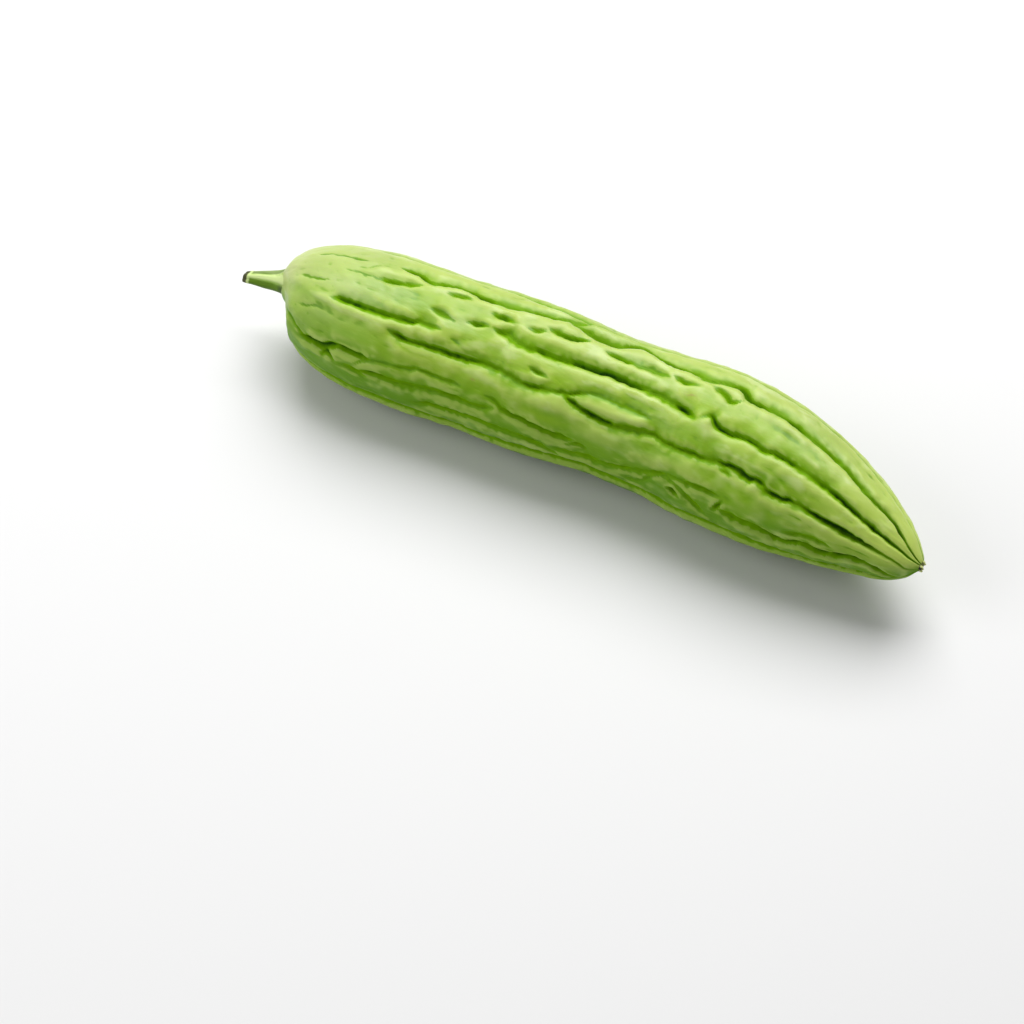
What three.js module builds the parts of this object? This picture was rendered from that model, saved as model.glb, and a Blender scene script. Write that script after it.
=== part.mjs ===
// A bitter gourd as picked: one ridged, spindle-shaped fruit with its cut stalk and the dried
// remnant of its flower. It lies on its belly. Millimetres, +Z up. +X runs along the fruit from
// the stalk to the blossom tip, and the fruit bows sideways, towards +Y. The origin is under the
// middle of the whole gourd, on the surface that it lies on.
import * as THREE from 'three';

// ---------------------------------------------------------------- driving dimensions

const FRUIT_LENGTH = 254;
const AXIS_HEIGHT = 25.9;
const STALK_FACE_X = -120.1;
const AXIS_SIDE_SHIFT = -7.58;
const GAP = 0.3;

// The fruit's radius along its length, as [station from the stalk face, radius].
const FRUIT_PROFILE = [
  [0, 5.5], [2, 8.2], [4.5, 11.8], [8, 15.1], [13, 18.3], [20, 21.6], [32, 24.8],
  [48, 26.3], [80, 26.0], [105, 26.6], [132, 24.9], [150, 25.4], [170, 27.0], [186, 26.2],
  [200, 24.6], [214, 21.3], [228, 17.2], [239, 12.7], [247, 8.2], [252, 4.0], [254, 1.8],
];

// The sideways bow of the fruit's axis, as [station, offset].
const FRUIT_BOW = [
  [0, 1], [15, 2.2], [45, 2.2], [90, 6.5], [135, 10], [170, 12.2], [210, 8.2], [254, 0.3],
];

// Furrows between the ridges: a depth, and a path as [station, angle round the fruit].
// Angle 0 is the far side, 90 the top, 180 the near side and 270 the belly.
const FURROWS = [
  { depth: 1.4, path: [[46, 77], [58, 81], [70, 78], [84, 81], [97, 78], [106, 76]] },
  {
    depth: 2.1,
    path: [
      [113, 74], [121, 82], [128, 78], [142, 75], [149, 80], [162, 82], [172, 78],
      [180, 84], [197, 83], [214, 83], [228, 87], [239, 88], [246, 96], [251, 104],
    ],
  },
  { depth: 1.3, path: [[26, 95], [34, 94], [46, 93], [58, 92]] },
  { depth: 1.3, path: [[84, 93], [102, 93], [107, 88], [120, 87], [134, 90], [147, 91], [163, 92]] },
  {
    depth: 2.7,
    path: [
      [87, 102], [92, 106], [98, 109], [120, 111], [128, 109], [136, 111], [144, 110],
      [166, 117], [169, 110], [175, 115], [194, 115], [200, 113], [218, 112], [226, 115],
      [236, 117], [247, 121], [252, 126],
    ],
  },
  { depth: 2.4, path: [[28, 125], [38, 123], [58, 121], [64, 118], [73, 118]] },
  {
    depth: 2.4,
    path: [
      [53, 131], [60, 135], [80, 135], [87, 131], [94, 133], [102, 137], [110, 136],
      [119, 132], [128, 127], [135, 126], [141, 129], [158, 129],
    ],
  },
  {
    depth: 2.7,
    path: [
      [119, 135], [125, 139], [139, 143], [153, 138], [160, 141], [178, 140], [187, 137],
      [206, 141], [222, 139], [240, 142], [246, 146], [251, 155],
    ],
  },
  {
    depth: 2.2,
    path: [
      [5, 148], [10, 155], [21, 166], [29, 166], [36, 160], [54, 158], [69, 153], [85, 154],
    ],
  },
  {
    depth: 1.9,
    path: [[44, 160], [52, 169], [58, 172], [73, 165], [91, 166], [97, 162]],
  },
  { depth: 2.0, path: [[91, 154], [103, 161], [120, 166], [135, 173], [157, 173], [177, 178]] },
  {
    depth: 2.1,
    path: [
      [189, 175], [204, 174], [210, 179], [217, 175], [231, 170], [238, 172], [245, 175],
      [250, 180],
    ],
  },
  { depth: 1.6, path: [[36, 174], [50, 179], [70, 180], [91, 177], [107, 179]] },
];

// Round the belly and the far side the furrows run from end to end, evenly spaced and wavering.
const FAR_FURROWS = { count: 9, firstAngle: 203, spacing: 26, depth: 2.2, from: 6, to: 250, step: 8 };
const FAR_FURROW_WAVES = [
  { degrees: 3.0, stretch: 31, shiftPerFurrow: 2.1 },
  { degrees: 1.6, stretch: 11, shiftPerFurrow: 1.3 },
];

// A furrow's sides reach this far from its bottom line, and less where the fruit is thin.
const FURROW_REACH = 5.4;
const FURROW_REACH_PER_RADIUS = 0.26;
const FURROW_FADE = 9;
const FURROW_FULL_DEPTH_RADIUS = 16;

// The stalk end is a little sunken on the near side.
const END_SINK = { depth: 2, angle: 170, innerRadius: 5.5, outerRadius: 12, from: 8, to: 20 };

// The stalk's radius along its length, as [distance from the fruit, radius], and how it bends.
const STALK_PROFILE = [[0, 5.4], [1.2, 4.5], [3, 3.7], [6, 3.2], [10, 2.8], [14, 2.5], [16.4, 2.3]];
const STALK_BEND = { aside: -3.9, down: -1.6, power: 1.4 };
const STALK_RIBS = { count: 5, height: 0.09, turn: 0.9 };

// The dried flower remnant on the blossom tip, as [distance from the fruit, radius].
const SCAR_PROFILE = [[0, 1.6], [0.5, 2.0], [1.2, 1.5], [2.0, 1.1], [2.6, 0.6]];
const SCAR_LOBES = { count: 5, height: 0.18 };

const FRUIT_ROWS = 58;
const FRUIT_SIDES = 84;
const STALK_ROWS = 10;
const STALK_SIDES = 30;
const SCAR_ROWS = 6;
const SCAR_SIDES = 20;

// ---------------------------------------------------------------- curves

const toPoints = (pairs) => pairs.map(([first, second]) => new THREE.Vector2(first, second));

// The second value as a smooth function of the first, through the given pairs.
function smoothLine(pairs) {
  const stepsPerPair = 12;
  const line = new THREE.SplineCurve(toPoints(pairs)).getPoints(stepsPerPair * (pairs.length - 1));
  return (at) => {
    const next = line.findIndex((point) => point.x >= at);
    if (next < 0) return line[line.length - 1].y;
    if (next === 0) return line[0].y;
    const share = (at - line[next - 1].x) / (line[next].x - line[next - 1].x);
    return THREE.MathUtils.lerp(line[next - 1].y, line[next].y, share);
  };
}

// A lathe's outline, from the axis out round the profile and back to the axis.
function latheOutline(profile, rows) {
  const swapped = profile.map(([along, radius]) => [radius, along]);
  const skin = new THREE.SplineCurve(toPoints(swapped)).getSpacedPoints(rows);
  const start = new THREE.Vector2(0, profile[0][0]);
  const end = new THREE.Vector2(0, profile[profile.length - 1][0]);
  return [start, ...skin, end];
}

// Turns a profile into a closed solid, and then puts every point where `place` says.
function sculptLathe(profile, rows, sides, place) {
  const geometry = new THREE.LatheGeometry(latheOutline(profile, rows), sides);
  const position = geometry.attributes.position;
  const point = new THREE.Vector3();
  for (let i = 0; i < position.count; i += 1) {
    point.fromBufferAttribute(position, i);
    const radius = Math.hypot(point.x, point.z);
    const angle = Math.atan2(point.x, point.z);
    place(point.y, angle, radius, point);
    position.setXYZ(i, point.x, point.y, point.z);
  }
  geometry.computeVertexNormals();
  return geometry;
}

// ---------------------------------------------------------------- the fruit

const bowAt = smoothLine(FRUIT_BOW);

function farFurrowPath(index) {
  const path = [];
  for (let station = FAR_FURROWS.from; station <= FAR_FURROWS.to; station += FAR_FURROWS.step) {
    let angle = FAR_FURROWS.firstAngle + FAR_FURROWS.spacing * index;
    for (const { degrees, stretch, shiftPerFurrow } of FAR_FURROW_WAVES) {
      angle += degrees * Math.sin(station / stretch + shiftPerFurrow * index);
    }
    path.push([station, angle]);
  }
  return path;
}

const farFurrows = Array.from({ length: FAR_FURROWS.count }, (_, index) => (
  { depth: FAR_FURROWS.depth, path: farFurrowPath(index) }
));

const furrows = [...FURROWS, ...farFurrows].map(({ depth, path }) => (
  { depth, angleAt: smoothLine(path), from: path[0][0], to: path[path.length - 1][0] }
));

// Depth of the furrows at a place on the fruit. Where two meet, the deeper one rules.
function furrowDepth(station, angle, radius) {
  const reach = Math.min(FURROW_REACH, FURROW_REACH_PER_RADIUS * radius);
  let sum = 0;
  for (const { depth, angleAt, from, to } of furrows) {
    const turn = THREE.MathUtils.radToDeg(angle) - angleAt(station);
    const nearTurn = THREE.MathUtils.euclideanModulo(turn + 180, 360) - 180;
    const away = Math.abs(THREE.MathUtils.degToRad(nearTurn)) * radius;
    const side = Math.max(0, 1 - (away / reach) ** 2) ** 2;
    const ends = THREE.MathUtils.smoothstep(Math.min(station - from, to - station), -1, FURROW_FADE);
    const thin = Math.min(1, radius / FURROW_FULL_DEPTH_RADIUS);
    sum += (depth * thin * ends * side) ** 3;
  }
  return Math.cbrt(sum);
}

// How far the skin of the stalk end is set in along the fruit.
function endSink(station, angle, radius) {
  const nearSide = Math.max(0, Math.cos(angle - THREE.MathUtils.degToRad(END_SINK.angle)));
  const outwards = THREE.MathUtils.smoothstep(radius, END_SINK.innerRadius, END_SINK.outerRadius);
  const fade = 1 - THREE.MathUtils.smoothstep(station, END_SINK.from, END_SINK.to);
  return END_SINK.depth * nearSide * outwards * fade;
}

// Puts a point of the fruit's skin beside its bowed axis, and flattens the belly where it rests.
function placeOnFruit(station, angle, radius, point) {
  const step = 1;
  const slope = (bowAt(station + step) - bowAt(station - step)) / (2 * step);
  const along = 1 / Math.hypot(1, slope);
  const skin = radius > 0 ? radius - furrowDepth(station, angle, radius) : 0;
  const side = skin * Math.cos(angle);
  point.set(
    STALK_FACE_X + station + endSink(station, angle, radius) - side * slope * along,
    AXIS_SIDE_SHIFT + bowAt(station) + side * along,
    Math.max(0, AXIS_HEIGHT + skin * Math.sin(angle)),
  );
}

function makeFruit() {
  return sculptLathe(FRUIT_PROFILE, FRUIT_ROWS, FRUIT_SIDES, placeOnFruit);
}

// ---------------------------------------------------------------- the stalk and the flower scar

// The stalk starts just off the fruit's face, flares into it, and bends aside and down.
function placeOnStalk(distance, angle, radius, point) {
  const length = STALK_PROFILE[STALK_PROFILE.length - 1][0];
  const share = distance / length;
  const bend = share ** STALK_BEND.power;
  const rib = STALK_RIBS.height * THREE.MathUtils.smoothstep(share, 0, 0.3);
  const skin = radius * (1 + rib * Math.cos(STALK_RIBS.count * angle + STALK_RIBS.turn));
  point.set(
    STALK_FACE_X - GAP - distance,
    AXIS_SIDE_SHIFT + FRUIT_BOW[0][1] + STALK_BEND.aside * bend - skin * Math.cos(angle),
    AXIS_HEIGHT + STALK_BEND.down * bend + skin * Math.sin(angle),
  );
}

function makeStalk() {
  return sculptLathe(STALK_PROFILE, STALK_ROWS, STALK_SIDES, placeOnStalk);
}

function placeOnScar(distance, angle, radius, point) {
  const lobe = SCAR_LOBES.height * THREE.MathUtils.smoothstep(distance, 0, 0.6);
  const skin = radius * (1 + lobe * Math.cos(SCAR_LOBES.count * angle));
  point.set(
    STALK_FACE_X + FRUIT_LENGTH + GAP + distance,
    AXIS_SIDE_SHIFT + FRUIT_BOW[FRUIT_BOW.length - 1][1] + skin * Math.cos(angle),
    AXIS_HEIGHT + skin * Math.sin(angle),
  );
}

function makeScar() {
  return sculptLathe(SCAR_PROFILE, SCAR_ROWS, SCAR_SIDES, placeOnScar);
}

// ---------------------------------------------------------------- the gourd

const fruitGreen = new THREE.MeshStandardMaterial({ color: 0x9cc05a, roughness: 0.42, metalness: 0 });
const stalkGreen = new THREE.MeshStandardMaterial({ color: 0x9fb86a, roughness: 0.6, metalness: 0 });
const driedBrown = new THREE.MeshStandardMaterial({ color: 0x4a3a22, roughness: 0.85, metalness: 0 });

function addPiece(group, name, geometry, material) {
  const piece = new THREE.Mesh(geometry, material);
  piece.name = name;
  group.add(piece);
}

const gourd = new THREE.Group();
addPiece(gourd, 'fruit_body', makeFruit(), fruitGreen);
addPiece(gourd, 'stem', makeStalk(), stalkGreen);
addPiece(gourd, 'blossom_scar', makeScar(), driedBrown);

export default gourd;
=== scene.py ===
import math

import bmesh
import bpy
import numpy as np
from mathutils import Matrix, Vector, noise


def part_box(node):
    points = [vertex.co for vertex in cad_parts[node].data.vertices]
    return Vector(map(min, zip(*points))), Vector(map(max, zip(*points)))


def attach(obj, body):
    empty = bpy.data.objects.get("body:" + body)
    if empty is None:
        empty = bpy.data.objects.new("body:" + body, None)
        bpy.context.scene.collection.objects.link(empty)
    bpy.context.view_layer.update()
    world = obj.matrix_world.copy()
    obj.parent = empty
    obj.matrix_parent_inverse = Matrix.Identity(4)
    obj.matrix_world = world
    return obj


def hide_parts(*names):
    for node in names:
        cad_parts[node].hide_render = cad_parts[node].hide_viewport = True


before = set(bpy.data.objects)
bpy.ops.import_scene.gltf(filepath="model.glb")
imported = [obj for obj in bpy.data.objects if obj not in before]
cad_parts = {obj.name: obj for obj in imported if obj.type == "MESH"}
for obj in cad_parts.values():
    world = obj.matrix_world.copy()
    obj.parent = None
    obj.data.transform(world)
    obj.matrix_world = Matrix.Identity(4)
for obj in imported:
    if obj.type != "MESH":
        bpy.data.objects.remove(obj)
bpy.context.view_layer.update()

# ================================================================ the fruit
# The fruit is one grown body, a soft spindle with rounded ridges along it. Furrows waver, fork and
# fade between the ridges. Its skin is thin, waxy and tight over firm flesh. It lies on its belly,
# which is pressed a little flat where it bears. Sizes are in millimetres, scaled to metres later.

MM = 0.001
SAME_POINT = 0.0001
JOIN_GAP = 0.3
STALK_BASE_RADIUS = 5.4
FRUIT_LENGTH = 254
MIDDLE_RADIUS = 26

# The fruit's radius along its length, as (station from the stalk, radius).
FRUIT_PROFILE = [
    (0, 5.5), (1.5, 8.8), (4, 12.6), (8, 15.9), (13, 18.8), (20, 21.8), (32, 24.8),
    (48, 26.3), (80, 26.0), (105, 26.6), (132, 24.9), (150, 25.4), (170, 27.0), (186, 26.2),
    (200, 24.6), (214, 21.3), (228, 17.2), (239, 12.7), (247, 8.2), (252, 4.0), (254, 1.8),
]

# The sideways bow of the fruit's axis, as (station, offset).
FRUIT_BOW = [
    (0, 1), (15, 2.2), (45, 2.2), (90, 6.5), (135, 10), (170, 12.2), (210, 8.2), (254, 0.3),
]

RINGS = 400
SIDES = 240

stalk_low, stalk_high = (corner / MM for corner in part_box("stem"))
face_x = stalk_high.x + JOIN_GAP
axis_side = stalk_high.y - STALK_BASE_RADIUS - FRUIT_BOW[0][1]
axis_height = (stalk_low.z + stalk_high.z) / 2


def smooth_line(points, steps=12):
    """A smooth curve through the points, as one array for each coordinate."""
    control = np.array([points[0], *points, points[-1]], float)
    share = (np.arange(steps) / steps)[:, None]
    stretches = []
    for before, start, end, after in zip(control, control[1:], control[2:], control[3:]):
        leave = (end - before) / 2
        arrive = (after - start) / 2
        cubic = 2 * start - 2 * end + leave + arrive
        square = 3 * end - 3 * start - 2 * leave - arrive
        stretches.append(cubic * share**3 + square * share**2 + leave * share + start)
    return np.vstack([*stretches, control[-1:]]).T


def smooth_step(value, low, high):
    """0 below low, 1 above high, and a soft change between."""
    share = np.clip((value - low) / (high - low), 0, 1)
    return share * share * (3 - 2 * share)


def turned(stations, radii, sides, number_rings=False):
    """A closed skin turned round the X axis. Its points can keep the number of their ring."""
    bm = bmesh.new()
    ring_layer = bm.verts.layers.int.new("ring") if number_rings else None
    outline = [bm.verts.new((x, y, 0)) for x, y in zip(stations, radii)]
    if number_rings:
        for ring, vert in enumerate(outline):
            vert[ring_layer] = ring
    spine_edges = [bm.edges.new(pair) for pair in zip(outline, outline[1:])]
    bmesh.ops.spin(
        bm,
        geom=outline + spine_edges,
        cent=(0, 0, 0),
        axis=(1, 0, 0),
        angle=math.tau,
        steps=sides,
        use_merge=True,
    )
    bmesh.ops.remove_doubles(bm, verts=bm.verts, dist=SAME_POINT)
    return bm


def finish_mesh(bm, mesh):
    """Turns a mesh's faces outwards and puts it in its mesh data, shaded smooth."""
    bmesh.ops.recalc_face_normals(bm, faces=bm.faces)
    bm.to_mesh(mesh)
    bm.free()
    mesh.shade_smooth()


def set_out(mesh):
    """An object of the mesh's name, placed in the scene where its points already lie."""
    made = bpy.data.objects.new(mesh.name, mesh)
    bpy.context.scene.collection.objects.link(made)
    return made


# The outline is spaced evenly from the axis at the stalk to the axis at the blossom tip.
outline_station, outline_radius = smooth_line(FRUIT_PROFILE)
outline_station = np.concatenate([outline_station[:1], outline_station, outline_station[-1:]])
outline_radius = np.concatenate([[0], outline_radius, [0]])
steps = np.hypot(np.diff(outline_station), np.diff(outline_radius))
travel = np.concatenate([[0], np.cumsum(steps)])
even = np.linspace(0, travel[-1], RINGS)
ring_station = np.interp(even, travel, outline_station)
ring_radius = np.interp(even, travel, outline_radius)

fruit_mesh = bpy.data.meshes.new("gourd_fruit")
finish_mesh(turned(ring_station, ring_radius, SIDES, number_rings=True), fruit_mesh)

# The skin's relief is worked out on a grid of rings along the fruit and sides round it.
# Angle 0 is the far side, 90 the top, 180 the near side and 270 the belly.
station = ring_station[:, None] + np.zeros(SIDES)
radius = ring_radius[:, None] + np.zeros(SIDES)
angle = np.arange(SIDES) * 360 / SIDES + np.zeros((RINGS, 1))
turn = np.radians(angle)


def skin_noise(length, width, shift):
    """Smooth noise over the skin, from about -1 to 1, in blotches of this length and width."""
    spots = np.stack(
        [
            station / length + shift,
            MIDDLE_RADIUS * np.cos(turn) / width,
            MIDDLE_RADIUS * np.sin(turn) / width,
        ],
        axis=-1,
    )
    values = [noise.noise(spot) for spot in spots.reshape(-1, 3).tolist()]
    return np.array(values).reshape(RINGS, SIDES)


def layered_noise(layers):
    """Noises of several sizes on each other, as (height, length, width, shift)."""
    return sum(height * skin_noise(length, width, shift) for height, length, width, shift in layers)


def place_on_skin(at_station, at_angle, reach_along, reach_round):
    """1 at a place on the skin, falling softly to 0 round it."""
    away = ((station - at_station) / reach_along) ** 2 + ((angle - at_angle) / reach_round) ** 2
    return np.exp(-away)


def blurred(field, passes):
    """The field smoothed over the skin, about 0.5 mm further with every pass at first."""
    for _ in range(passes):
        field = (2 * field + np.roll(field, 1, axis=1) + np.roll(field, -1, axis=1)) / 4
        padded = np.pad(field, ((1, 1), (0, 0)), mode="edge")
        field = (2 * field + padded[:-2] + padded[2:]) / 4
    return field


# Furrows as (depth, path), each path as (station, angle), from the top down the near side.
FURROWS = [
    # Dimples and a fold on the shoulder by the stalk.
    (0.55, [(14, 83), (24, 80), (35, 79)]),
    (0.6, [(12, 113), (19, 115), (26, 111)]),
    (0.35, [(16, 142), (21, 141), (26, 137), (30, 137)]),
    (0.8, [(5, 157), (12, 159), (19, 165), (25, 169)]),
    # The row of pits along the top.
    (0.45, [(29, 96), (38, 94), (47, 94)]),
    (1.5, [(42, 93), (48, 92), (53, 90), (58, 87)]),
    (1.1, [(66, 87), (71, 86), (78, 85)]),
    (1.8, [(85, 91), (90, 92), (96, 93)]),
    (1.4, [(99, 94), (103, 94), (106, 91)]),
    (2.2, [(106, 87), (112, 88), (116, 87), (121, 83)]),
    (1.4, [(127, 87), (135, 88), (148, 89), (152, 91)]),
    (1.2, [(153, 89), (158, 91), (165, 91)]),
    (1.6, [(166, 87), (173, 90), (176, 93), (179, 88)]),
    # The furrow just beyond the top, in two lengths that pass each other.
    (
        2.3,
        [
            (47, 75), (53, 74), (58, 78), (62, 79), (69, 74), (73, 74), (80, 77), (88, 77),
            (94, 76), (106, 71), (119, 58),
        ],
    ),
    (
        2.4,
        [
            (110, 73), (115, 69), (125, 72), (130, 71), (135, 65), (139, 64), (148, 74), (158, 76),
            (163, 80), (166, 80), (173, 75), (177, 76), (181, 81), (190, 78), (205, 78), (218, 80),
            (229, 86), (240, 86), (245, 92), (250, 103), (253.5, 113),
        ],
    ),
    # The great furrow between the top and the near side, with two pits before it and a break.
    (2.6, [(64, 105), (69, 106), (74, 109)]),
    (1.6, [(79, 106), (86, 103)]),
    (
        2.4,
        [
            (89, 104), (94, 104), (98, 108), (110, 109), (128, 105), (144, 106), (150, 108),
            (163, 114), (168, 116),
        ],
    ),
    (
        1.8,
        [
            (169, 115), (173, 111), (176, 115), (181, 116), (188, 112), (195, 114), (201, 111),
            (221, 111), (232, 116), (243, 120), (248, 123), (251, 127), (253.5, 131),
        ],
    ),
    # The near side, from the top down.
    (1.9, [(30, 125), (38, 123), (58, 121), (63, 118), (71, 119)]),
    (0.4, [(75, 123), (80, 125)]),
    (1.3, [(106, 123), (109, 125), (113, 126)]),
    (
        1.8,
        [
            (53, 131), (60, 135), (72, 134), (81, 135), (88, 132), (97, 134), (105, 137),
            (113, 136), (118, 135),
        ],
    ),
    (1.1, [(113, 136), (123, 132), (129, 126), (138, 127), (152, 129)]),
    (
        1.8,
        [
            (120, 135), (125, 138), (133, 143), (139, 145), (145, 143), (151, 141), (155, 140),
            (160, 143),
        ],
    ),
    (
        1.7,
        [
            (151, 143), (155, 140), (160, 143), (173, 142), (182, 139), (189, 137), (195, 139),
            (199, 137), (204, 141),
        ],
    ),
    (1.2, [(184, 142), (189, 143)]),
    (
        2.1,
        [
            (199, 140), (207, 142), (211, 140), (222, 141), (236, 145), (242, 147), (248, 153),
            (251, 165), (253.5, 178),
        ],
    ),
    (1.8, [(21, 170), (31, 169), (36, 162), (44, 160), (50, 160)]),
    (0.8, [(44, 169), (50, 160), (63, 157), (67, 154), (75, 155), (85, 156)]),
    (1.6, [(32, 175), (34, 171), (37, 174)]),
    (1.3, [(37, 176), (42, 175), (49, 178)]),
    (1.4, [(45, 177), (49, 173), (66, 172), (74, 168), (90, 168), (99, 163)]),
    (1.4, [(93, 156), (98, 158), (102, 163), (112, 166), (120, 169), (128, 168)]),
    (0.9, [(125, 174), (129, 171), (134, 174)]),
    # The creased flank above the belly.
    (2.1, [(129, 181), (134, 182), (138, 180)]),
    (1.3, [(66, 187), (81, 184), (90, 182), (106, 183), (113, 185), (125, 194)]),
    (1.2, [(118, 185), (130, 183), (138, 183), (148, 177), (153, 174), (167, 164), (188, 162)]),
    (0.9, [(145, 187), (153, 185), (160, 170), (168, 168), (178, 179), (184, 186)]),
    (2.2, [(166, 176), (168, 177), (171, 179)]),
    (1.3, [(186, 176), (188, 171), (189, 166)]),
    (1.6, [(212, 171), (222, 166), (228, 169)]),
    (
        2.0,
        [
            (189, 174), (196, 177), (205, 181), (209, 185), (213, 185), (219, 180), (224, 184),
            (230, 181), (235, 177), (240, 177), (244, 182), (248, 196), (251, 207), (253.5, 220),
        ],
    ),
]

# Round the belly and the far side the furrows run from end to end, evenly spaced and wavering.
FAR_COUNT = 9
FAR_DEPTH = 2.3
FAR_FIRST_ANGLE = 203
FAR_SPACING = 26
FAR_STATIONS = np.append(np.arange(6, 244, 8), (247, 250, 253.5))
for number in range(FAR_COUNT):
    slow_wave = 3.0 * np.sin(FAR_STATIONS / 31 + 2.1 * number)
    quick_wave = 1.6 * np.sin(FAR_STATIONS / 11 + 1.3 * number)
    middle = FAR_FIRST_ANGLE + FAR_SPACING * number + slow_wave + quick_wave
    FURROWS.append((FAR_DEPTH, list(zip(FAR_STATIONS, middle))))

# The skin beside a furrow is drawn this way and that, so that no lip is straight.
wander = layered_noise([(0.4, 13, 10, 3.7), (0.3, 5, 5, 9.1), (0.45, 2.2, 2.6, 6.6)])
# The relief is lower where the fruit narrows at its ends.
FULL_RELIEF_RADIUS = 14
thin = np.minimum(1, radius / FULL_RELIEF_RADIUS) ** 1.3
# A furrow's slit is deep in some stretches and nearly closed in others.
slit_place = 0.2 + 0.95 * smooth_step(skin_noise(11, 9, 4.4), -0.25, 0.35)

# Places where a furrow gapes: station, angle, reach along, reach round in degrees, how far.
GAPES = [
    (47, 122, 12, 6, 0.25),
    (75, 134, 20, 6, 0.3),
    (122, 109, 26, 4, 0.2),
    (134, 141, 7, 5, 0.6),
    (193, 139, 7, 5, 0.8),
    (227, 141, 9, 6, 0.75),
    (224, 114, 10, 6, 0.5),
    (225, 184, 2, 6, 1.0),
    (231, 181, 1.6, 6, 1.0),
    (237, 178, 1.8, 6, 1.0),
    (243, 181, 1.8, 8, 1.0),
    (33, 167, 5, 7, 1.0),
    (169, 176, 3, 6, 0.5),
    (188, 171, 3, 8, 0.5),
]
gape = np.zeros((RINGS, SIDES))
for *place, wide in GAPES:
    gape = np.maximum(gape, wide * place_on_skin(*place))
slit_place = np.maximum(slit_place, np.minimum(1.15, 3 * gape))

# The shade painted on a furrow's floor is beaded. On top, where light falls in, and at the tip it
# is painted paler.
beads = 0.55 + 0.45 * smooth_step(skin_noise(2.6, 3, 7.7), -0.2, 0.25)
shaded = 0.35 + 0.65 * smooth_step(angle, 84, 108)
shaded *= 1 - 0.5 * smooth_step(station, 232, 250)

# Shares of a furrow's depth: the two rolls of flesh, the slope between them, the slit and the lip.
ROLL_DEPTH = 0.36
SLOPE_DEPTH = 0.6
SLIT_DEPTH = 0.7
LIP_HEIGHT = 0.2
# How much wider than its reach the slope above a furrow is, and how much narrower the one below.
SLOPE_ABOVE = 1.4
SLOPE_BELOW = 0.8
# How far a furrow's middle may lean from the fruit's length, as a slope.
MOST_LEAN = 1.2
# The distance over which a furrow fades at its ends. Beyond this station it runs into the tip.
FADE = 5
TIP_STATION = 238
# The shade painted along a slit grows with the depth of its furrow, and the shallowest furrows have
# none. The floor's painted shade is as dark as can be in a furrow of this full depth.
SHADE_BAND_DEPTH = 1.4
SHADE_BAND_START = 0.35
FULL_FLOOR_SHADE_DEPTH = 2.1

furrow_depth = np.zeros((RINGS, SIDES))
furrow_lip = np.zeros((RINGS, SIDES))
furrow_slit = np.zeros((RINGS, SIDES))
furrow_floor = np.zeros((RINGS, SIDES))
for depth, path in FURROWS:
    path_station, path_angle = smooth_line(path)
    middle = np.interp(ring_station, path_station, path_angle)[:, None]
    turn_per_ring = np.gradient(np.radians(middle[:, 0]))
    lean = turn_per_ring * ring_radius / np.maximum(np.gradient(ring_station), 0.1)
    lean = np.clip(lean, -MOST_LEAN, MOST_LEAN)
    off = (angle - middle + 180) % 360 - 180
    below = (np.radians(off) * radius + wander * thin) * np.cos(np.arctan(lean))[:, None]
    across = np.abs(below)
    from_end = np.minimum(station - path_station[0], path_station[-1] - station)
    run = path_station[-1] - path_station[0]
    present = smooth_step(from_end, -2, np.where(station > TIP_STATION, 0, min(FADE, run / 2)))
    taper = 0.45 + 0.55 * present
    # A long furrow parts two rolls of flesh, and a short one is only a dimple.
    roll_reach = np.clip(0.36 * radius - 0.6, 0.5, 9)
    roll = np.clip(1 - across / roll_reach, 0, 1) ** 2 * min(1, run / 40)
    # The flesh rolls down into a furrow from above and stands up from it in a firm lip below.
    reach = np.clip(0.17 * radius - 0.5, 0.3, min(1.3 + 1.1 * depth, 1.4 + 0.12 * run)) * taper
    slope = np.where(
        below < 0,
        np.clip(1 - across / (SLOPE_ABOVE * reach), 0, 1) ** 1.8,
        np.clip(1 - across / (SLOPE_BELOW * reach), 0, 1) ** 1.5,
    )
    lip = np.exp(-(((below / roll_reach - 0.36) / 0.3) ** 2)) * present * thin
    furrow_lip = np.maximum(furrow_lip, LIP_HEIGHT * depth * lip * smooth_step(run, 10, 35))
    slit_reach = np.minimum(0.75 + 0.25 * depth, 0.06 * radius + 0.1) * taper * (1 + 0.7 * gape)
    slit = np.clip(1 - across / slit_reach, 0, 1) ** 1.1 * slit_place
    cut = ROLL_DEPTH * depth * roll + SLOPE_DEPTH * depth * slope
    cut += SLIT_DEPTH * depth * slit * (1 + 0.4 * gape)
    cut *= present * thin
    # Furrows that cross are joined by the cube root of their cubes, which keeps the deeper one.
    furrow_depth += cut**3
    # Painted shade makes the skin darkest on a furrow's floor and on the wall above it, which
    # overhangs a little.
    shade_band = np.clip(1 - np.abs(below + 0.2) / slit_reach, 0, 1) ** 1.2 * slit_place * present
    shade_strength = np.clip(depth / SHADE_BAND_DEPTH - SHADE_BAND_START, 0, 1)
    furrow_slit = np.maximum(furrow_slit, shade_band * shade_strength)
    floor_shade = np.maximum(beads, np.minimum(1, 1.5 * gape)) * shaded * min(1, depth / FULL_FLOOR_SHADE_DEPTH)
    furrow_floor = np.maximum(furrow_floor, shade_band * floor_shade)
furrow_depth = np.cbrt(furrow_depth)


def creases(length, width, shift, thickness, low, high):
    """Thin wandering creases, 1 along their middles, where the skin is wrinkled."""
    lines = np.clip(1 - np.abs(skin_noise(length, width, shift)) / thickness, 0, 1) ** 1.5
    return lines * smooth_step(skin_noise(2 * length, 3 * width, shift + 2.9), low, high)


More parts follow.
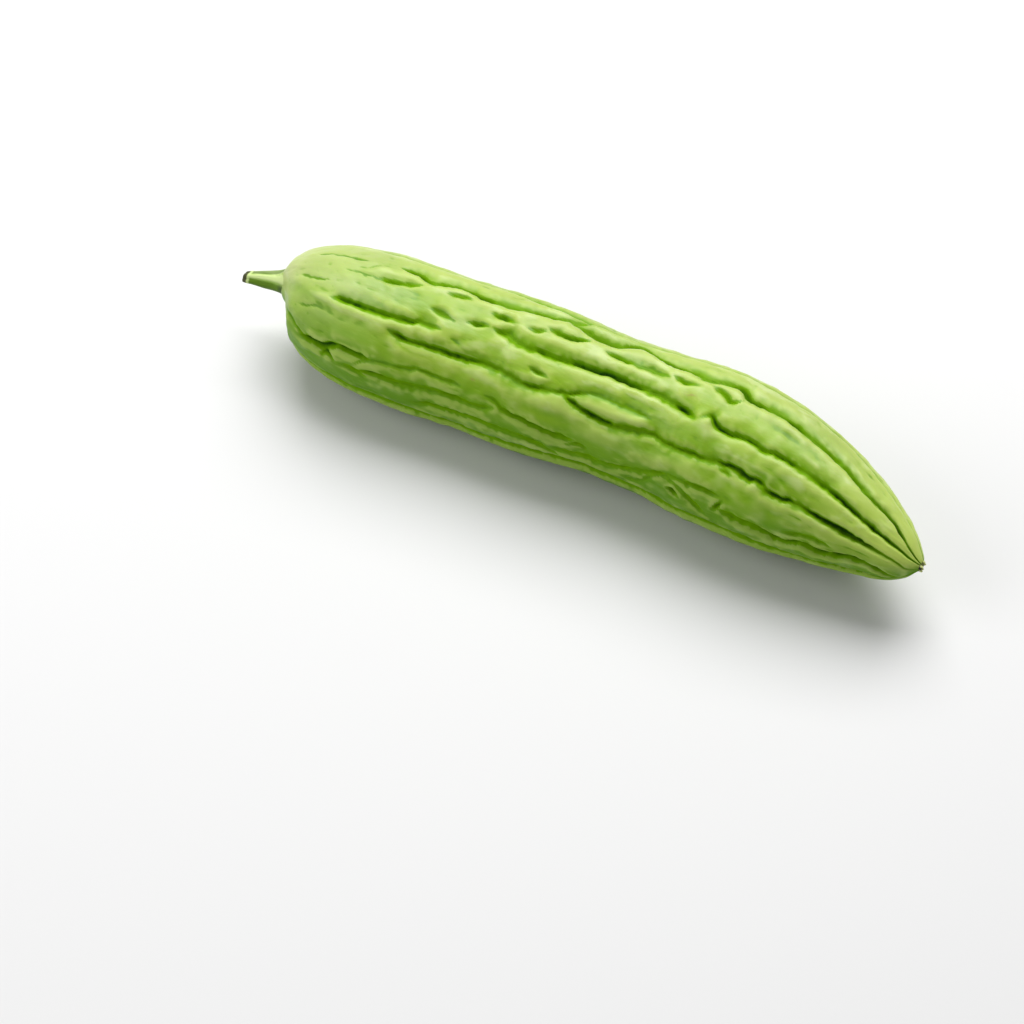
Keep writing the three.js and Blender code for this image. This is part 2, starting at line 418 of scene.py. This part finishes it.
# Between the furrows the ridges swell and sag, and fine creases run along and across them.
swelling = layered_noise(
    [(0.7, 40, 18, 1.3), (0.4, 11, 7, 5.9), (0.28, 5, 3.6, 8.8), (0.08, 2.6, 2.2, 4.1)]
)
wrinkles = 0.25 * creases(17, 5, 7.3, 0.3, -0.1, 0.4) + 0.1 * creases(8, 3, 2.2, 0.16, -0.1, 0.4)
relief = (swelling - wrinkles) * thin + furrow_lip - furrow_depth

# Fuller and slacker places, as (station, angle, reach along, reach round in degrees, height).
SWELLS = [
    (165, 159, 42, 9, 1.3),
    (122, 74, 8, 7, -1.8),
    (142, 75, 6, 7, 0.8),
    (118, 145, 9, 6, 0.9),
    (190, 161, 7, 5, -0.8),
    (199, 93, 6, 4, -0.5),
    (172.5, 113.5, 2.5, 4, 0.8),
    (148, 136, 8, 4, 0.8),
    (130, 136, 12, 4, 0.7),
    (35, 127, 14, 5, 1.3),
    (166, 70, 10, 6, 0.3),
]
for *place, height in SWELLS:
    relief += height * place_on_skin(*place)

# The stalk end is sunken on the near side, and its shoulder swells below that.
END_SINK = 4.2
SHOULDER_SWELL = 1.3
TIP_SWELL = 1.7
near_side = np.maximum(0, np.cos(np.radians(angle - 190)))
end_sink = END_SINK * near_side * smooth_step(radius, 2, 8) * (1 - smooth_step(station, 3, 14))
under_side = np.maximum(0, np.cos(np.radians(angle - 205)))
shoulder = smooth_step(station, 0, 8) * (1 - smooth_step(station, 18, 45))
relief += SHOULDER_SWELL * under_side * shoulder
# The blossom tip is fuller below, so that the remnant of the flower points a little upwards.
before_tip = smooth_step(station, 234, 248) * (1 - smooth_step(station, 251, 254))
relief += TIP_SWELL * under_side * before_tip

bow_station, bow_offset = smooth_line(FRUIT_BOW)
bow = np.interp(station, bow_station, bow_offset)
bow_before = np.interp(station - 1, bow_station, bow_offset)
bow_after = np.interp(station + 1, bow_station, bow_offset)
bow_slope = (bow_after - bow_before) / 2
along = 1 / np.hypot(1, bow_slope)
skin_radius = np.where(radius > 0, np.maximum(radius + relief, 0.2), 0)
side = skin_radius * np.cos(turn)
skin = np.stack(
    [
        face_x + station + end_sink - side * bow_slope * along,
        axis_side + bow + side * along,
        np.maximum(0, axis_height + skin_radius * np.sin(turn)),
    ],
    axis=-1,
)

vertex_count = len(fruit_mesh.vertices)
rings = np.empty(vertex_count, int)
fruit_mesh.attributes["ring"].data.foreach_get("value", rings)
straight = np.empty(vertex_count * 3)
fruit_mesh.vertices.foreach_get("co", straight)
straight = straight.reshape(-1, 3)
sides = np.rint(np.arctan2(straight[:, 2], straight[:, 1]) / math.tau * SIDES).astype(int) % SIDES
fruit_mesh.vertices.foreach_set("co", (skin[rings, sides] * MM).ravel())
fruit_mesh.attributes.remove(fruit_mesh.attributes["ring"])


def mark_skin(name, field):
    """Keeps a value for every point of the fruit's skin, which its finish reads."""
    mark = fruit_mesh.attributes.new(name, "FLOAT", "POINT")
    mark.data.foreach_set("value", field[rings, sides].astype(np.float32))


# The skin's colours paint shade in its hollows and highlight on its crests: against the level of
# the flesh, and against its near surroundings for the fine wrinkles. A furrow of this depth has
# the full painted shade of a hollow.
FULL_HOLLOW_DEPTH = 2.3
level = blurred(relief, 60)
fine_level = blurred(relief, 6)
hollow = furrow_depth / FULL_HOLLOW_DEPTH + np.maximum(0, level - relief) / 4
mark_skin("hollow", np.clip(hollow, 0, 1))
mark_skin("crest", np.clip((relief - level) / 0.9, 0, 1))
mark_skin("crimp", np.clip(0.5 + (relief - fine_level) / 0.5, 0, 1))
mark_skin("slit", furrow_slit)
mark_skin("floor", furrow_floor)
mark_skin("window_side", (np.cos(turn - math.radians(45)) + 1) / 2)
mark_skin("bloom_and_sheen", 1.6 - smooth_step(station, 16, 65) - 0.6 * smooth_step(station, 4, 18))
mark_skin("tip", 0.6 * smooth_step(station, 205, 240) + 0.4 * smooth_step(station, 234, 249))

# Small healed scrapes: station, angle, reach along, reach round in degrees.
BLEMISHES = [(162, 101, 2.2, 1.8), (168, 79, 0.6, 1.4), (137, 148, 0.8, 1.0), (88, 147, 0.9, 1.2)]
SCRAPE_STRENGTH = 0.8
blemish = np.zeros((RINGS, SIDES))
for place in BLEMISHES:
    blemish = np.maximum(blemish, SCRAPE_STRENGTH * place_on_skin(*place))
mark_skin("blemish", blemish)

# Places painted with a thicker milky bloom and sheen, and places painted darker as shade, each
# with its share.
MILKY_SHEEN_PLACES = [(35, 109, 14, 8, 0.45), (76, 108, 7, 6, 0.4)]
PAINTED_SHADE_PLACES = [
    (22, 129, 18, 6, 0.45),
    (38, 153, 14, 12, 0.5),
    (125, 68, 12, 7, 0.5),
    (180, 127, 14, 5, 0.4),
    (227, 128, 9, 6, 0.5),
]
for name, places in (("milk_sheen", MILKY_SHEEN_PLACES), ("shade_patch", PAINTED_SHADE_PLACES)):
    share = np.zeros((RINGS, SIDES))
    for *place, strength in places:
        share = np.maximum(share, strength * place_on_skin(*place))
    mark_skin(name, share)

fruit = set_out(fruit_mesh)


def new_finish(name):
    """A new material of this name, its node tree, and its shader, joined to the output."""
    finish = bpy.data.materials.new(name)
    finish.use_nodes = True
    tree = finish.node_tree
    return finish, tree, tree.nodes["Principled BSDF"]


def put(tree, kind, values=None, **settings):
    """Adds a node. Values go to its inputs: a number or colour is set, an output is joined."""
    made = tree.nodes.new(kind)
    for setting, value in settings.items():
        setattr(made, setting, value)
    for socket, value in (values or {}).items():
        if isinstance(value, bpy.types.NodeSocket):
            tree.links.new(value, made.inputs[socket])
        else:
            made.inputs[socket].default_value = value
    return made


def mixed(tree, share, first, second):
    """A colour from the first to the second, by share."""
    made = put(tree, "ShaderNodeMix", {"Factor": share}, data_type="RGBA")
    for socket, colour in (("A", first), ("B", second)):
        target = next(s for s in made.inputs if s.name == socket and s.type == "RGBA")
        if isinstance(colour, bpy.types.NodeSocket):
            tree.links.new(colour, target)
        else:
            target.default_value = (*colour, 1)
    return next(s for s in made.outputs if s.type == "RGBA")


def worked(tree, operation, first, second):
    """One sum with two numbers, held between 0 and 1."""
    made = put(tree, "ShaderNodeMath", {0: first, 1: second}, operation=operation, use_clamp=True)
    return made.outputs[0]


def ranged(tree, value, low, high, new_low=0.0, new_high=1.0):
    """Stretches a value's range low to high over a new range, and softens both ends."""
    made = put(
        tree,
        "ShaderNodeMapRange",
        {"Value": value, "From Min": low, "From Max": high, "To Min": new_low, "To Max": new_high},
        interpolation_type="SMOOTHSTEP",
    )
    return made.outputs["Result"]


def skin_mark(tree, name):
    """The value that a piece's points keep under this name."""
    return put(tree, "ShaderNodeAttribute", attribute_name=name).outputs["Fac"]


# Every part of the plant has blotches, small pale flecks and a fine grain, in its own sizes.
plant_grain = bpy.data.node_groups.new("plant_grain", "ShaderNodeTree")
for socket_name, socket_kind, start_value in (
    ("Vector", "NodeSocketVector", None),
    ("Blotch Scale", "NodeSocketFloat", 60.0),
    ("Fleck Scale", "NodeSocketFloat", 900.0),
    ("Grain Scale", "NodeSocketFloat", 1500.0),
):
    socket = plant_grain.interface.new_socket(socket_name, in_out="INPUT", socket_type=socket_kind)
    if start_value is not None:
        socket.default_value = start_value
for socket_name in ("Blotch", "Fleck", "Grain"):
    plant_grain.interface.new_socket(socket_name, in_out="OUTPUT", socket_type="NodeSocketFloat")
given = plant_grain.nodes.new("NodeGroupInput")
result = plant_grain.nodes.new("NodeGroupOutput")
spread = given.outputs["Vector"]
blotch_values = {"Vector": spread, "Scale": given.outputs["Blotch Scale"], "Detail": 3.0}
fleck_values = {"Vector": spread, "Scale": given.outputs["Fleck Scale"]}
grain_values = {"Vector": spread, "Scale": given.outputs["Grain Scale"], "Detail": 2.0}
blotch = put(plant_grain, "ShaderNodeTexNoise", {**blotch_values, "Roughness": 0.55})
fleck = put(plant_grain, "ShaderNodeTexVoronoi", fleck_values)
grain = put(plant_grain, "ShaderNodeTexNoise", grain_values)
blotch_share = ranged(plant_grain, blotch.outputs[0], 0.3, 0.7)
fleck_share = ranged(plant_grain, fleck.outputs["Distance"], 0.3, 0.1)
plant_grain.links.new(blotch_share, result.inputs["Blotch"])
plant_grain.links.new(fleck_share, result.inputs["Fleck"])
plant_grain.links.new(grain.outputs[0], result.inputs["Grain"])


def add_grain(tree, stretch, blotch_scale, fleck_scale, grain_scale):
    """Places the plant grain in a material, its pattern drawn out along the fruit by stretch."""
    place = put(tree, "ShaderNodeTexCoord").outputs["Object"]
    streaks = put(tree, "ShaderNodeMapping", {"Vector": place, "Scale": stretch}).outputs["Vector"]
    grain = tree.nodes.new("ShaderNodeGroup")
    grain.node_tree = plant_grain
    tree.links.new(streaks, grain.inputs["Vector"])
    grain.inputs["Blotch Scale"].default_value = blotch_scale
    grain.inputs["Fleck Scale"].default_value = fleck_scale
    grain.inputs["Grain Scale"].default_value = grain_scale
    return grain


def add_bump(tree, shader, height, strength, distance):
    """Roughens a surface's shading by a height that changes over it."""
    values = {"Height": height, "Strength": strength, "Distance": distance}
    bump = put(tree, "ShaderNodeBump", values)
    tree.links.new(bump.outputs["Normal"], shader.inputs["Normal"])


GREEN_RIDGE = (0.25, 0.455, 0.012)
GREEN_PALE = (0.46, 0.59, 0.13)
GREEN_BLOOM_AND_SHEEN = (0.45, 0.53, 0.19)
GREEN_TIP = (0.53, 0.67, 0.13)
GREEN_MILKY_SHEEN = (0.56, 0.67, 0.30)
GREEN_FLANK = (0.145, 0.325, 0.002)
GREEN_HOLLOW_SHADE = (0.15, 0.33, 0.002)
GREEN_CREASE_SHADE = (0.05, 0.16, 0.003)
GREEN_FURROW_SHADE = (0.010, 0.055, 0.006)
GREEN_PAINTED_LIGHT = (0.42, 0.50, 0.15)
GREEN_PATCH = (0.33, 0.46, 0.03)
GREEN_BELLY_SHADE = (0.088, 0.24, 0.001)
SCAR_TAN = (0.30, 0.27, 0.06)

fruit_finish, tree, shader = new_finish("gourd_skin")
# The skin is blotched. Painted highlight makes it paler along the crests, and painted light makes
# it paler on the side turned up to the window.
grain = add_grain(tree, (0.25, 1.0, 1.0), 130.0, 700.0, 1400.0)
colour = mixed(tree, grain.outputs["Blotch"], GREEN_FLANK, GREEN_RIDGE)
# Painted highlight: the crests are mixed towards the pale green.
crest_highlight_share = worked(tree, "MULTIPLY", ranged(tree, skin_mark(tree, "crest"), 0.05, 0.8), 0.75)
colour = mixed(tree, crest_highlight_share, colour, GREEN_PALE)
window_side_mark = skin_mark(tree, "window_side")
colour = mixed(tree, ranged(tree, window_side_mark, 0.68, 1.0, 0.0, 0.6), colour, GREEN_PAINTED_LIGHT)
patches = add_grain(tree, (0.35, 1.0, 1.0), 42.0, 700.0, 1400.0)
clouds = add_grain(tree, (0.45, 1.0, 1.0), 170.0, 700.0, 1400.0)
colour = mixed(tree, worked(tree, "MULTIPLY", patches.outputs["Blotch"], 0.4), colour, GREEN_PATCH)
# A pale bloom lies on the shoulder by the stalk, partly painted highlight. The blossom tip is a
# lighter green, and painted shade makes the side turned away from the window a darker one.
# Partly real bloom and partly painted light: it is stronger on the window side and strongest on the
# sunken stalk end, which it lightens.
bloom_and_sheen_share = worked(
    tree,
    "MULTIPLY",
    skin_mark(tree, "bloom_and_sheen"),
    ranged(tree, window_side_mark, 0.3, 0.8, 0.3, 0.65),
)
colour = mixed(tree, bloom_and_sheen_share, colour, GREEN_BLOOM_AND_SHEEN)
# Painted shade: the listed places are mixed towards the flank's darker green.
colour = mixed(tree, skin_mark(tree, "shade_patch"), colour, GREEN_FLANK)
tip_mark = skin_mark(tree, "tip")
colour = mixed(tree, worked(tree, "MULTIPLY", tip_mark, 0.8), colour, GREEN_TIP)
colour = mixed(tree, ranged(tree, window_side_mark, 0.5, 0.03, 0.0, 0.9), colour, GREEN_BELLY_SHADE)
fleck_share = worked(tree, "MULTIPLY", grain.outputs["Fleck"], 0.08)
colour = mixed(tree, fleck_share, colour, GREEN_PALE)
# Painted shade makes the hollows a deeper green, and some crests between them have a milky
# bloom, partly painted sheen.
hollow_mark = skin_mark(tree, "hollow")
hollow_shade_share = worked(tree, "MULTIPLY", ranged(tree, hollow_mark, 0.05, 0.7), 0.85)
hollow_shade_share = worked(tree, "MULTIPLY", hollow_shade_share, ranged(tree, tip_mark, 0.4, 1.0, 1.0, 0.5))
colour = mixed(tree, hollow_shade_share, colour, GREEN_HOLLOW_SHADE)
# A milky colour, partly real bloom and partly painted sheen, lies on crests turned to the window
# and on the listed places.
milky_sheen_share = ranged(tree, clouds.outputs["Blotch"], 0.5, 1.0)
milky_sheen_share = worked(tree, "MULTIPLY", milky_sheen_share, crest_highlight_share)
milky_sheen_share = worked(tree, "MULTIPLY", milky_sheen_share, ranged(tree, window_side_mark, 0.3, 0.8, 0.3, 0.75))
crimp_mark = skin_mark(tree, "crimp")
milk_sheen_share = ranged(tree, patches.outputs["Blotch"], 0.0, 0.6, 0.5, 1.0)
milk_sheen_share = worked(tree, "MULTIPLY", milk_sheen_share, skin_mark(tree, "milk_sheen"))
colour = mixed(tree, milk_sheen_share, colour, GREEN_MILKY_SHEEN)
milky_sheen_share = worked(tree, "MULTIPLY", milky_sheen_share, ranged(tree, crimp_mark, 0.3, 0.5))
colour = mixed(tree, milky_sheen_share, colour, GREEN_MILKY_SHEEN)
# Painted shade darkens the fine wrinkles in their creases, and painted highlight makes their edges
# pale.
colour = mixed(tree, ranged(tree, crimp_mark, 0.45, 0.2, 0.0, 0.7), colour, GREEN_HOLLOW_SHADE)
colour = mixed(tree, ranged(tree, crimp_mark, 0.4, 0.0, 0.0, 0.5), colour, GREEN_CREASE_SHADE)
colour = mixed(tree, ranged(tree, crimp_mark, 0.58, 0.95, 0.0, 0.4), colour, GREEN_PALE)
# Painted shade darkens the furrows towards their slits and paints their floors a very dark green.
slit_mark = skin_mark(tree, "slit")
colour = mixed(tree, ranged(tree, slit_mark, 0.0, 0.15, 0.0, 0.85), colour, GREEN_HOLLOW_SHADE)
colour = mixed(tree, ranged(tree, slit_mark, 0.12, 0.8, 0.0, 0.75), colour, GREEN_CREASE_SHADE)
floor_mark = skin_mark(tree, "floor")
colour = mixed(tree, ranged(tree, floor_mark, 0.3, 0.9, 0.0, 0.85), colour, GREEN_FURROW_SHADE)
# The healed scrapes are tan.
blemish_share = ranged(tree, grain.outputs["Grain"], 0.3, 0.6)
blemish_share = worked(tree, "MULTIPLY", skin_mark(tree, "blemish"), blemish_share)
colour = mixed(tree, blemish_share, colour, SCAR_TAN)
tree.links.new(colour, shader.inputs["Base Color"])
# The wax shines a little on the ridges and not in the furrows.
roughness = ranged(tree, grain.outputs["Blotch"], 0.0, 1.0, 0.36, 0.46)
tree.links.new(roughness, shader.inputs["Roughness"])
waxy = ranged(tree, window_side_mark, 0.15, 0.75, 0.08, 0.35)
waxy = worked(tree, "MULTIPLY", waxy, ranged(tree, slit_mark, 0.02, 0.4, 1.0, 0.0))
waxy = worked(tree, "MULTIPLY", waxy, ranged(tree, hollow_mark, 0.2, 0.8, 1.0, 0.2))
tree.links.new(waxy, shader.inputs["Specular IOR Level"])
shader.inputs["Subsurface Weight"].default_value = 0.1
shader.inputs["Subsurface Radius"].default_value = (0.5, 1.0, 0.15)
shader.inputs["Subsurface Scale"].default_value = 0.0015
add_bump(tree, shader, grain.outputs["Grain"], 0.3, 0.0002)
fruit_mesh.materials.append(fruit_finish)

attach(fruit, "root")
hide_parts("fruit_body")

# ================================================================ the stalk
# The stalk carried the fruit on the vine. It is tough, fibrous and five-ribbed, flares into the
# fruit, and bends a little aside and down to the cut that picked it, which has dried brown.

STALK_PROFILE = [
    (-1.6, 7.6), (0, 6.3), (1.2, 5.4), (3, 4.5), (6, 3.65), (9, 3.1), (11.6, 2.65), (12.5, 2.6),
    (13.4, 2.45), (14.5, 2.2),
]
STALK_LENGTH = 14.8
STALK_RINGS = 70
STALK_SIDES = 96

STALK_RIBS = 5
FIRST_RIB = math.radians(60)
# Which way round the stalk faces down on the near side.
LOW_SIDE = math.radians(36)
STALK_ASIDE = 3.6
STALK_DOWN = 1.0

profile_s, profile_r = smooth_line(STALK_PROFILE)
stalk_s = np.linspace(profile_s[0], STALK_LENGTH - 0.3, STALK_RINGS)
stalk_r = np.interp(stalk_s, profile_s, profile_r)
# The cut face is turned in over a small rim and sinks to the pith.
cut_s = STALK_LENGTH + np.array([-0.1, 0, -0.1, -0.5, -0.7])
cut_r = np.array([2.05, 1.85, 1.5, 0.9, 0])
stalk_s = np.concatenate([stalk_s[:1], stalk_s, cut_s])
stalk_r = np.concatenate([[0], stalk_r, cut_r])

stalk_mesh = bpy.data.meshes.new("gourd_stalk")
bm = turned(stalk_s, stalk_r, STALK_SIDES)
groove_layer = bm.verts.layers.float.new("groove")
out_layer = bm.verts.layers.float.new("out")
low_layer = bm.verts.layers.float.new("low")
for vert in bm.verts:
    s, y, z = vert.co
    r = math.hypot(y, z)
    around = math.atan2(z, y)
    share = max(0, s / STALK_LENGTH)
    twist = 0.3 * math.sin(s / 4)
    groove = (0.5 - 0.5 * math.cos(STALK_RIBS * (around - FIRST_RIB) + twist)) ** 1.8
    ribbed = float(smooth_step(s, -1, 3)) * min(1, r / 2)
    fibre = noise.noise((s / 7, 5 * math.cos(around), 5 * math.sin(around)))
    r *= 1 + ribbed * (0.05 * fibre - 0.15 * groove)
    # Below, on the near side, the stalk meets the fruit without a flare.
    r -= max(0, r - 3.4) * 0.85 * max(0, math.cos(around + LOW_SIDE))
    # The flare follows the sunken near side of the fruit's end.
    drawn_in = END_SINK * max(0, math.cos(around + math.radians(10)))
    drawn_in *= float(smooth_step(r, 2, 8) * (1 - smooth_step(s, 0, 9)))
    bend = share**1.4
    vert[groove_layer] = groove
    vert[out_layer] = share
    vert[low_layer] = 0.5 + 0.5 * math.cos(around + LOW_SIDE)
    vert.co = Vector(
        (
            face_x - s + drawn_in,
            axis_side + FRUIT_BOW[0][1] - STALK_ASIDE * bend - r * math.cos(around),
            axis_height - STALK_DOWN * bend + r * math.sin(around),
        )
    ) * MM
finish_mesh(bm, stalk_mesh)
stalk = set_out(stalk_mesh)

STALK_GREEN = (0.20, 0.38, 0.02)
STALK_PALE = (0.60, 0.72, 0.30)
STALK_OLIVE_SHADE = (0.07, 0.14, 0.006)
STALK_SHADE = (0.16, 0.22, 0.08)
STALK_NOTCH_SHADE = (0.05, 0.10, 0.008)
STALK_CUT = (0.07, 0.075, 0.03)

stalk_finish, tree, shader = new_finish("gourd_stalk_rind")
grain = add_grain(tree, (0.2, 1.0, 1.0), 250.0, 900.0, 1800.0)
# Painted highlight makes the ribs pale, and painted shade makes the grooves olive, the low side a
# darker green and the high far side a greyer shade.
groove_mark = skin_mark(tree, "groove")
colour = mixed(tree, grain.outputs["Blotch"], STALK_GREEN, STALK_PALE)
colour = mixed(tree, ranged(tree, groove_mark, 0.3, 0.0, 0.0, 0.85), colour, STALK_PALE)
low_mark = skin_mark(tree, "low")
colour = mixed(tree, ranged(tree, low_mark, 0.55, 0.75, 0.0, 0.9), colour, STALK_GREEN)
colour = mixed(tree, ranged(tree, groove_mark, 0.3, 0.95, 0.0, 0.6), colour, STALK_OLIVE_SHADE)
colour = mixed(tree, ranged(tree, low_mark, 0.3, 0.1, 0.0, 0.7), colour, STALK_SHADE)
colour = mixed(tree, ranged(tree, low_mark, 0.74, 0.92, 0.0, 0.85), colour, STALK_OLIVE_SHADE)
# It is painted dark as shade in the notch below where it meets the fruit, and ends in a pale ring
# and the cut.
out_mark = skin_mark(tree, "out")
notch_shade_share = ranged(tree, out_mark, 0.12, 0.02)
notch_shade_share = worked(tree, "MULTIPLY", ranged(tree, low_mark, 0.5, 0.8), notch_shade_share)
colour = mixed(tree, notch_shade_share, colour, STALK_NOTCH_SHADE)
ring_share = worked(tree, "MULTIPLY", ranged(tree, out_mark, 0.8, 0.84), 0.8)
colour = mixed(tree, ring_share, colour, STALK_PALE)
colour = mixed(tree, ranged(tree, out_mark, 0.87, 0.91), colour, STALK_CUT)
tree.links.new(colour, shader.inputs["Base Color"])
shader.inputs["Roughness"].default_value = 0.5
shader.inputs["Specular IOR Level"].default_value = 0.1
add_bump(tree, shader, grain.outputs["Grain"], 0.4, 0.0002)
stalk_mesh.materials.append(stalk_finish)

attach(stalk, "root")
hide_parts("stem")

# ================================================================ the flower remnant
# The dried base of the flower stays on the blossom tip, where it grew. It is a dark and brittle
# scab, 3 to 4 mm across, with a few pale shreds standing round its rim.

SCAR_PROFILE = [(-1.2, 1.3), (-0.2, 1.6), (0.7, 1.75), (1.2, 1.35), (0.9, 0.9), (0.3, 0.45)]
SCAR_SIDES = 60
SCAR_SHREDS = 5

scar_x = face_x + FRUIT_LENGTH - 0.7
scar_side = axis_side + FRUIT_BOW[-1][1]
scar_mesh = bpy.data.meshes.new("gourd_flower_remnant")
scar_s, scar_r = smooth_line(SCAR_PROFILE, 5)
scar_s = np.concatenate([scar_s[:1], scar_s, scar_s[-1:]])
scar_r = np.concatenate([[0], scar_r, [0]])
bm = turned(scar_s, scar_r, SCAR_SIDES)
pale_layer = bm.verts.layers.float.new("pale")
for vert in bm.verts:
    s, y, z = vert.co
    around = math.atan2(z, y)
    rim = float(smooth_step(s, 0.1, 1.1) * smooth_step(math.hypot(y, z), 0.5, 1.2))
    uneven = 0.6 + 0.8 * noise.noise((2 * math.cos(around), 2, 0))
    shred = max(0, math.cos(SCAR_SHREDS * around + 0.8)) * uneven
    lump = 1 + 0.22 * noise.noise((s * 1.5, y * 1.5, z * 1.5 + 4)) + rim * (0.45 * shred - 0.1)
    vert[pale_layer] = rim * shred
    vert.co = Vector(
        (scar_x + s + rim * 0.9 * shred, scar_side + y * lump, axis_height + z * lump)
    ) * MM
finish_mesh(bm, scar_mesh)
scar = set_out(scar_mesh)

SCAR_DARK = (0.012, 0.012, 0.005)
SCAR_BROWN = (0.10, 0.13, 0.02)
SCAR_PALE = (0.55, 0.60, 0.22)

scar_finish, tree, shader = new_finish("gourd_dried_flower")
grain = add_grain(tree, (1.0, 1.0, 1.0), 900.0, 2500.0, 3000.0)
pale_mark = skin_mark(tree, "pale")
colour = mixed(tree, ranged(tree, grain.outputs["Blotch"], 0.3, 0.9), SCAR_DARK, SCAR_BROWN)
colour = mixed(tree, ranged(tree, pale_mark, 0.05, 0.4), colour, SCAR_PALE)
tree.links.new(colour, shader.inputs["Base Color"])
shader.inputs["Roughness"].default_value = 0.8
add_bump(tree, shader, grain.outputs["Grain"], 0.5, 0.0002)
scar_mesh.materials.append(scar_finish)

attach(scar, "root")
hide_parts("blossom_scar")

# ================================================================ the table and the studio
# The gourd lies on a white table under soft daylight from a large window above and behind it, and
# a weaker one in front at the left. The camera looks down on its near side.

TABLE_HALF_WIDTH = 6
TABLE_WHITE = (0.7, 0.7, 0.7, 1)
floor_mesh = bpy.data.meshes.new("table_top")
bm = bmesh.new()
bmesh.ops.create_grid(bm, x_segments=1, y_segments=1, size=TABLE_HALF_WIDTH)
bm.to_mesh(floor_mesh)
bm.free()
table_top = set_out(floor_mesh)
table_finish, tree, shader = new_finish("table_white")
shader.inputs["Base Color"].default_value = TABLE_WHITE
shader.inputs["Roughness"].default_value = 0.7
floor_mesh.materials.append(table_finish)

SOFT_LIGHTS = [
    # name, place in metres, size, watts
    ("window_above", (-0.2, 0.55, 1.08), 1.1, 21.0),
    ("window_left", (-0.8, -0.75, 0.7), 0.9, 6.5),
]
for name, place, size, watts in SOFT_LIGHTS:
    lamp = bpy.data.lights.new(name, "AREA")
    lamp.size = size
    lamp.energy = watts
    holder = bpy.data.objects.new(name, lamp)
    holder.location = place
    holder.rotation_euler = Vector(place).to_track_quat("Z", "Y").to_euler()
    bpy.context.scene.collection.objects.link(holder)

ROOM_BRIGHTNESS = 0.25
world = bpy.data.worlds.new("pale_room")
world.use_nodes = True
room = world.node_tree.nodes["Background"]
room.inputs["Color"].default_value = (1, 1, 1, 1)
room.inputs["Strength"].default_value = ROOM_BRIGHTNESS
bpy.context.scene.world = world
bpy.context.scene.view_settings.view_transform = "Standard"

CAMERA_TURN = math.radians(30.9)
CAMERA_RISE = math.radians(50)
CAMERA_DISTANCE = 0.95
CAMERA_LENS = 95.7
CAMERA_FILM = 36
CAMERA_AIM = Vector((-0.0058, -0.0373, -0.0011))
back = Vector(
    (
        math.sin(CAMERA_TURN) * math.cos(CAMERA_RISE),
        -math.cos(CAMERA_TURN) * math.cos(CAMERA_RISE),
        math.sin(CAMERA_RISE),
    )
)
camera_data = bpy.data.cameras.new("camera")
camera_data.lens = CAMERA_LENS
camera_data.sensor_width = CAMERA_FILM
camera = bpy.data.objects.new("camera", camera_data)
camera.location = CAMERA_AIM + back * CAMERA_DISTANCE
camera.rotation_euler = back.to_track_quat("Z", "Y").to_euler()
bpy.context.scene.collection.objects.link(camera)
bpy.context.scene.camera = camera
